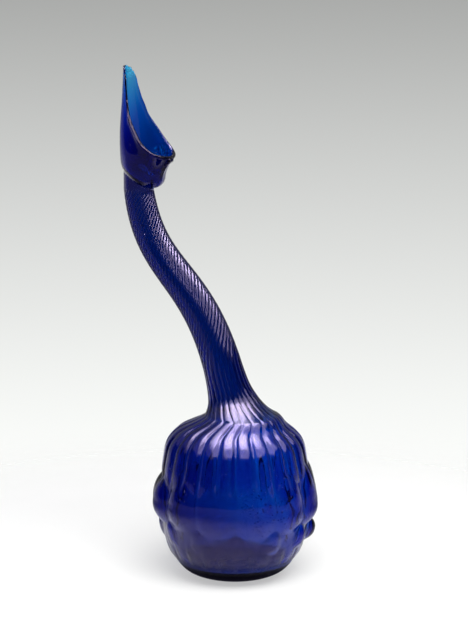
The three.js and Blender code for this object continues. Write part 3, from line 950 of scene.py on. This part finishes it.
def studioLevel(nodes, links, across, toward, rise):
    # What a reflection sees: a dim table, a dark room and lit scrims overhead, which are flat and level:
    # u and v are where the ray meets them, in heights above the bottle.
    look = worldLook
    up = sums(nodes, links, "MAXIMUM", rise, look["leastRise"])
    u = sums(nodes, links, "DIVIDE", across, up)
    v = sums(nodes, links, "DIVIDE", toward, up)
    lit = 0.0
    for form in look["scrims"]:
        scrim = sums(nodes, links, "MULTIPLY", within(nodes, links, u, form["across"], form["acrossEdge"]),
                     within(nodes, links, v, form["along"], form["alongEdge"]))
        lit = sums(nodes, links, "ADD", sums(nodes, links, "MULTIPLY", scrim, form["level"]), lit)
    below = ranged(nodes, links, rise, look["tableEdge"], -look["tableEdge"])
    table = sums(nodes, links, "MULTIPLY", below, look["table"])
    return sums(nodes, links, "ADD", sums(nodes, links, "ADD", lit, table), look["room"])


def background(nodes, links, colour, strength=1.0):
    node = nodes.new("ShaderNodeBackground")
    if isinstance(colour, tuple):
        node.inputs["Color"].default_value = colour
    else:
        links.new(colour, node.inputs["Color"])
    if isinstance(strength, float):
        node.inputs["Strength"].default_value = strength
    else:
        links.new(strength, node.inputs["Strength"])
    return node.outputs[0]


def makeWorld():
    # The studio is turned to the photograph's angle and stays there, whatever the view.
    world = bpy.data.worlds.new("studio")
    bpy.context.scene.world = world
    world.use_nodes = True
    nodes, links = world.node_tree.nodes, world.node_tree.links
    nodes.clear()
    a = math.radians(cameraForm["azimuth"])
    way = nodes.new("ShaderNodeTexCoord").outputs["Generated"]
    across = partAlong(nodes, links, way, (math.cos(a), math.sin(a), 0))
    toward = partAlong(nodes, links, way, (math.sin(a), -math.cos(a), 0))
    rise = partAlong(nodes, links, way, (0, 0, 1))
    sweep = sweepColour(nodes, links, rise)
    lighter = nodes.new("ShaderNodeMix")
    lighter.data_type = "RGBA"
    lighter.blend_type = "LIGHTEN"
    lighter.inputs["Factor"].default_value = 1
    links.new(sweep, lighter.inputs["A"])
    lighter.inputs["B"].default_value = (*[worldLook["throughLeast"]] * 3, 1)
    shown = background(nodes, links, sweep)
    through = background(nodes, links, lighter.outputs["Result"])
    behind = ranged(nodes, links, toward, *worldLook["behind"])
    room = background(nodes, links, (1.0, 1.0, 1.0, 1.0), studioLevel(nodes, links, across, toward, rise))
    gloss = either(nodes, links, behind, room, shown)
    plain = background(nodes, links, (1.0, 1.0, 1.0, 1.0), worldLook["plainLevel"])
    path = nodes.new("ShaderNodeLightPath").outputs
    lit = either(nodes, links, path["Is Glossy Ray"], plain, gloss)
    lit = either(nodes, links, path["Is Transmission Ray"], lit, through)
    lit = either(nodes, links, path["Is Camera Ray"], lit, shown)
    links.new(lit, nodes.new("ShaderNodeOutputWorld").inputs["Surface"])


makeWorld()
print("world:", len(worldLook["scrims"]), "scrims")


def directionOf(azimuth, elevation):
    a, e = math.radians(azimuth), math.radians(elevation)
    return Vector((math.sin(a) * math.cos(e), -math.cos(a) * math.cos(e), math.sin(e)))


def makeCamera():
    data = bpy.data.cameras.new("camera")
    data.sensor_fit = "VERTICAL"
    data.sensor_height = cameraForm["sensorHeight"]
    data.lens = cameraForm["lens"]
    data.clip_end = cameraForm["clipEnd"]
    camera = bpy.data.objects.new("camera", data)
    bpy.context.scene.collection.objects.link(camera)
    back = directionOf(cameraForm["azimuth"], cameraForm["elevation"])
    a = math.radians(cameraForm["azimuth"])
    right = Vector((math.cos(a), math.sin(a), 0))
    aim = Vector((globeAxis.x, globeAxis.y, cameraForm["aimZ"])) - right * cameraForm["aside"]
    camera.location = aim + back * cameraForm["distance"]
    camera.rotation_euler = (-back).to_track_quat("-Z", "Y").to_euler()
    bpy.context.scene.camera = camera


makeCamera()


# Soft panel in front of the bottle, which throws the shadow behind it. Reflections leave it out, as the
# world's scrims stand there.
panelForm = {
    "azimuth": 48,
    "elevation": 54,
    "distance": 1.3,
    "size": (1.0, 0.9),
    "power": 22,
    "aimZ": 0.1,
}


def makePanel():
    data = bpy.data.lights.new("front panel", "AREA")
    data.shape = "RECTANGLE"
    data.size, data.size_y = panelForm["size"]
    data.energy = panelForm["power"]
    panel = bpy.data.objects.new("front panel", data)
    bpy.context.scene.collection.objects.link(panel)
    back = directionOf(panelForm["azimuth"], panelForm["elevation"])
    panel.location = Vector((globeAxis.x, globeAxis.y, panelForm["aimZ"])) + back * panelForm["distance"]
    panel.rotation_euler = (-back).to_track_quat("-Z", "Y").to_euler()
    panel.visible_camera = False
    panel.visible_glossy = False
    panel.visible_transmission = False


makePanel()
print("camera and panel placed")

lightBounces = 24  # enough for the four walls of hollow glass and the mirror paths between them
scene = bpy.context.scene
scene.view_settings.view_transform = "Standard"
scene.cycles.max_bounces = lightBounces
scene.cycles.transmission_bounces = lightBounces
scene.cycles.transparent_max_bounces = lightBounces
